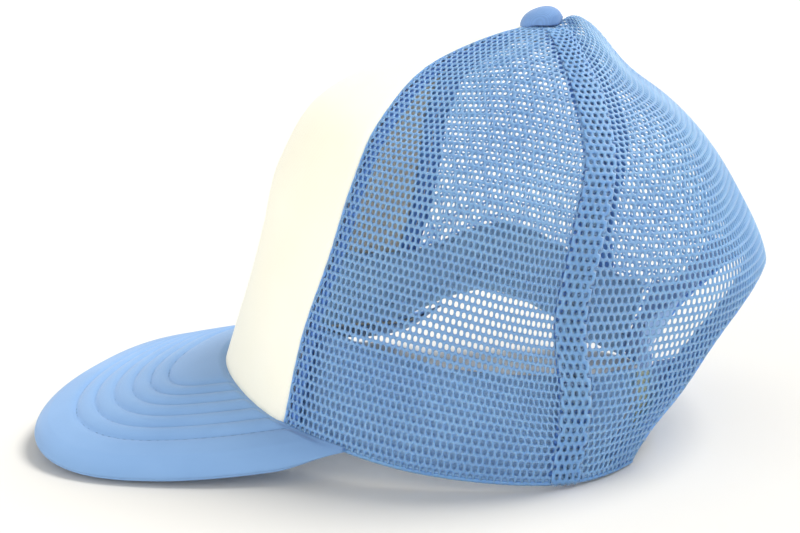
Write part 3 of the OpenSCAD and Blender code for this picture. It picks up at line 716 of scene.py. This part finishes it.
# ---------------------------------------------------------------- sweatband
def sweatband():
    e = 4.52
    s = np.linspace(-e, e, 240)
    line = np.array([[5.7, 34], [5.7, 30], [5.75, 24], [5.8, 18], [5.8, 12], [5.7, 8], [5.4, 4.6], [4.7, 2.4], [3.6, 1.3], [2.2, 0.95], [0.9, 1.0]])
    tan = np.gradient(line, axis=0)
    tan /= np.linalg.norm(tan, axis=-1, keepdims=True)
    nor = np.stack([tan[:, 1], -tan[:, 0]], -1)
    wave = 0.35 * np.sin(s * 5.3) + 0.2 * np.sin(s * 11.7 + 1)
    close = 2.2 * smooth(np.abs(s), 2.25, 2.75) * (1 - smooth(np.abs(s), 4.15, 4.4))

    def surf(off):
        pts = line + nor * off
        d = pts[:, 0][:, None] + wave[None] * smooth(pts[:, 1], 8, 34)[:, None] - close[None] * smooth(pts[:, 0], 0.9, 5.2)[:, None]
        h = pts[:, 1][:, None] + np.zeros_like(s)[None]
        S = np.broadcast_to(s[None] % 12, d.shape)
        t = np.where(h >= 0, at_height(S, np.maximum(h, 0)), 0)
        return crown(S, t) - d[..., None] * normal(S, t)
    a, b = surf(0.6), surf(-0.6)
    # the band's light colour is painted light against the shade behind the net
    o = shell("sweatband_cloth", a[::-1], b[::-1], [M_SWEAT_PAINTED_LIGHT], grid_uv(a)[::-1])
    place(o, "band", "sweatband")
    # a line of stitches round the band, near its upper and lower edges
    lines = []
    for h in (31.5, 9.0):
        S = s % 12
        t = at_height(S, np.full_like(s, h))
        n = normal(S, t)
        w = wave * smooth(np.array([h]), 8, 34)[0]
        lines.append((crown(S, t) - (6.42 + w - close)[:, None] * n, -n))
    st = stitches("sweatband_thread", lines, [M_THREAD_PAINTED_SHADE], length=2.6, gap=0.9, radius=0.18)
    place(st, "thread")
    return o


# ---------------------------------------------------------------- covered button
def button():
    tilt = math.radians(15)
    nr, nc = 30, 96
    th = np.linspace(0, 2 * np.pi, nc, endpoint=False)
    V, F = [], []
    prof = []
    for k in range(nr):
        a = k / (nr - 1) * np.pi / 2
        prof.append((7.5 * math.sin(a) ** 0.86, 1.0 + 5.9 * math.cos(a) ** 0.9))
    prof += [(7.45, 0.75), (7.1, 0.45), (6.2, 0.35), (3.0, 0.4)]
    for r, z in prof:
        low = np.clip(1 - (z - 0.4) / 2.4, 0, 1) * (r > 5)
        pleat = 0.10 * low * np.sin(14 * th + 1.5 * np.sin(3 * th))
        V.append(np.stack([(r + pleat) * np.cos(th), (r + pleat) * np.sin(th), np.full(nc, z)], -1))
    V = np.concatenate(V)
    rows = len(prof)
    for k in range(rows - 1):
        for e in range(nc):
            a, b = k * nc + e, k * nc + (e + 1) % nc
            F.append([a, a + nc, b + nc, b])
    V = np.concatenate([V, [[0, 0, 6.9]], [[0, 0, 0.4]]])
    c0, c1 = rows * nc, rows * nc + 1
    first = [e for e in range(nc)]
    F = [f for f in F]
    for e in range(nc):
        F.append([(rows - 1) * nc + e, c1, (rows - 1) * nc + (e + 1) % nc])
        F.append([c0, e, (e + 1) % nc])
    rot = np.array([[1, 0, 0], [0, math.cos(tilt), -math.sin(tilt)], [0, math.sin(tilt), math.cos(tilt)]])
    W = V @ rot.T + APEX + rot @ np.array([0, -0.7, -0.9])
    # the cover's lower edge follows the net under it
    ts, ss = np.meshgrid(np.linspace(5.2, T_TOP, 60), np.linspace(0, 12, 240, endpoint=False), indexing="ij")
    cp = inside(ss, ts, 0.0).reshape(-1, 3)
    ang = np.arctan2(cp[:, 1] - APEX[1], cp[:, 0])
    rad = np.hypot(cp[:, 0], cp[:, 1] - APEX[1])
    wa = np.arctan2(W[:, 1] - APEX[1], W[:, 0])
    wr = np.hypot(W[:, 0], W[:, 1] - APEX[1])
    edge = np.clip((1.9 - V[:, 2]) / 1.2, 0, 1) * np.clip((wr - 4.5) / 2.0, 0, 1)
    for i in np.where(edge > 0)[0]:
        near = np.argmin((np.angle(np.exp(1j * (ang - wa[i]))) * wr[i]) ** 2 + (rad - wr[i]) ** 2)
        W[i, 2] += edge[i] * np.clip(cp[near, 2] + 0.25 + (V[i, 2] - 0.4) * 0.6 - W[i, 2], -2.4, 0.6)
    uv = V[:, :2] * MM
    o = mesh_piece("button_cloth", W, F, [M_BUTTON], uv)
    place(o, "visor_cloth", "button_cover")


# ---------------------------------------------------------------- strap roots and label
STRAP_Y, STRAP_T, STRAP_Z, STRAP_H, ROOT_X, FLARE_H = 65.5, 1.4, 3.0, 18.0, 40.0, 33.0


def strap_tabs():
    for side, tag, y, body in ((1, "left", STRAP_Y + STRAP_T / 2 + 0.1, "hole_strap"), (-1, "right", STRAP_Y - STRAP_T / 2 - 0.1, "peg_strap")):
        st = np.linspace(4.46, 4.78, 9)
        hh = np.linspace(0, 1, 13)
        leg = np.zeros((len(hh), len(st), 3))
        leg_n = np.zeros_like(leg)
        for i, h in enumerate(hh):
            ss = sided(st + 0.17 * h, side)
            t = at_height(ss, (3.0 if side > 0 else 2.4) + h * FLARE_H)
            leg[i] = crown(ss, t) - 4.0 * normal(ss, t)
        end = np.stack([np.full(len(hh), side * (ROOT_X + 1.2)), np.full(len(hh), y), STRAP_Z + hh * STRAP_H], -1)
        tip = np.stack([np.full(len(hh), side * (ROOT_X - 4.5)), np.full(len(hh), y), STRAP_Z + hh * STRAP_H], -1)
        cols = [leg[:, k] for k in range(len(st))]
        last, prev = cols[-1], cols[-2]
        slope = (last - prev) / np.linalg.norm(last - prev, axis=-1, keepdims=True)
        reach = np.linalg.norm(end - last, axis=-1, keepdims=True)
        for f in np.linspace(0.12, 1, 10):
            a, b = last, last + slope * reach * 0.35
            c, d = end - np.array([-side, 0, 0]) * reach * 0.35, end
            cols.append((1 - f) ** 3 * a + 3 * (1 - f) ** 2 * f * b + 3 * (1 - f) * f * f * c + f ** 3 * d)
        for f in np.linspace(0.1, 1, 10):
            cols.append(end * (1 - f) + tip * f)
        mid = np.stack(cols, 1)
        du = np.gradient(mid, axis=1)
        dv = np.gradient(mid, axis=0)
        n = np.cross(du, dv)
        n /= np.linalg.norm(n, axis=-1, keepdims=True)
        if side < 0:
            n = -n
        n = -n if n[6, 3, 1] < 0 else n
        thick = np.full(mid.shape[:2], STRAP_T / 2 + 0.12)
        rim = np.minimum(np.arange(len(hh)), np.arange(len(hh))[::-1])
        thick *= np.where(rim == 0, 0.55, np.where(rim == 1, 0.9, 1.0))[:, None]
        thick[:, -1] *= 0.4
        thick[:, 0] *= 0.5
        out, inn = mid + n * thick[..., None], mid - n * thick[..., None]
        if side > 0:
            out, inn = out[:, ::-1], inn[:, ::-1]
        o = shell("strap_root_" + tag, out, inn, [M_STRAP], grid_uv(out))
        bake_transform(o)
        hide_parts("strap_tab_" + tag)


def label():
    w, h = np.meshgrid(np.linspace(-1, 1, 13), np.linspace(0, 1, 48))
    S = 4.69 - 0.16 * h + 0.05 * w
    T = at_height(S, 6 + 28 * h)
    n = normal(S, T)
    bend = 0.05 * np.sin(h * 11) + 0.03 * np.sin(w * 3 + h * 4)
    th = 0.17 * np.sqrt(np.clip(1 - np.abs(w) ** 8, 0.03, 1))
    a = crown(S, T) - (2.97 + bend - th)[..., None] * n
    b = crown(S, T) - (2.97 + bend + th)[..., None] * n
    # the label's pale colour is partly painted light against the shade inside the crown
    o = shell("label_tape", a, b, [M_LABEL_PAINTED_LIGHT], grid_uv(a))
    place(o, "label_cloth", "inner_label")


front_panel()
visor()
nets()
arch_edge()
arch_tape()
seam_strips()
sweatband()
button()
strap_tabs()
label()

for node, mat in {"strap_holes": M_STRAP, "strap_pegs": M_STRAP, "button_shell": M_METAL, "button_post": M_METAL, "button_washer": M_METAL}.items():
    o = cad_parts[node]
    o.data.materials.clear()
    o.data.materials.append(mat)

# ---------------------------------------------------------------- floor, light, camera
sc = bpy.context.scene
fm = bpy.data.materials.new("floor_paper")
fm.use_nodes = True
fb = fm.node_tree.nodes["Principled BSDF"]
fb.inputs["Base Color"].default_value = (0.80, 0.785, 0.755, 1)
fb.inputs["Roughness"].default_value = 0.95
fb.inputs["Specular IOR Level"].default_value = 0.1
fme = bpy.data.meshes.new("floor")
R = 6.0
fme.from_pydata([(-R, -R, 0), (R, -R, 0), (R, R, 0), (-R, R, 0)], [], [(0, 1, 2, 3)])
fme.materials.append(fm)
floor = bpy.data.objects.new("floor", fme)
sc.collection.objects.link(floor)

w = bpy.data.worlds.new("studio")
sc.world = w
w.use_nodes = True
bg = w.node_tree.nodes["Background"]
bg.inputs["Color"].default_value = (1.0, 1.0, 0.985, 1)
# bright far and front walls, and a low broad light on the near side
wt = w.node_tree
wc = wt.nodes.new("ShaderNodeTexCoord")
ws = wt.nodes.new("ShaderNodeSeparateXYZ")
wt.links.new(wc.outputs["Generated"], ws.inputs[0])


def calc(op, a, b):
    n = wt.nodes.new("ShaderNodeMath")
    n.operation = op
    for k, v in enumerate((a, b)):
        if isinstance(v, (int, float)):
            n.inputs[k].default_value = v
        else:
            wt.links.new(v, n.inputs[k])
    return n.outputs[0]


def lobe(x, power, gain):
    return calc("MULTIPLY", calc("POWER", calc("MAXIMUM", x, 0.0), power), gain)


low = calc("SUBTRACT", 1.0, calc("ABSOLUTE", ws.outputs[2], 0.0))
far = lobe(calc("MULTIPLY", ws.outputs[0], -1.0), 1.5, 0.88)
front = lobe(calc("MULTIPLY", ws.outputs[1], -1.0), 1.5, 0.55)
near = calc("MULTIPLY", lobe(ws.outputs[0], 1.0, 2.5), lobe(low, 1.5, 1.0))
sky = lobe(ws.outputs[2], 2.0, 0.10)
wt.links.new(calc("ADD", calc("ADD", far, front), calc("ADD", near, calc("ADD", sky, 0.27))), bg.inputs["Strength"])

# broad soft light from behind and above
key = bpy.data.lights.new("key", "SUN")
key.energy = 2.7
key.angle = math.radians(28)
key.color = (1, 0.985, 0.95)
ko = bpy.data.objects.new("key", key)
sc.collection.objects.link(ko)
ko.rotation_mode = "QUATERNION"
ko.rotation_quaternion = (-Vector((-0.40, 0.62, 1.0))).to_track_quat("-Z", "Y")

az, el, roll = math.radians(104.05), math.radians(10.29), math.radians(-2.96)
target, dist, focal = Vector((0, -22.48, 52.34)) * MM, 0.400, 1078.0
back = Vector((math.sin(az) * math.cos(el), -math.cos(az) * math.cos(el), math.sin(el)))
right = (-back).cross(Vector((0, 0, 1))).normalized()
up = right.cross(-back)
r2 = right * math.cos(roll) + up * math.sin(roll)
u2 = -right * math.sin(roll) + up * math.cos(roll)
cam = bpy.data.cameras.new("camera")
cam.sensor_width = 36
cam.lens = 36 * focal / 800
cam.clip_start, cam.clip_end = 0.01, 50
co = bpy.data.objects.new("camera", cam)
sc.collection.objects.link(co)
mw = Matrix((r2, u2, back)).transposed().to_4x4()
mw.translation = target + back * dist
co.matrix_world = mw
sc.camera = co
sc.view_settings.view_transform = "Standard"
sc.view_settings.look = "None"
sc.view_settings.exposure = 0.0
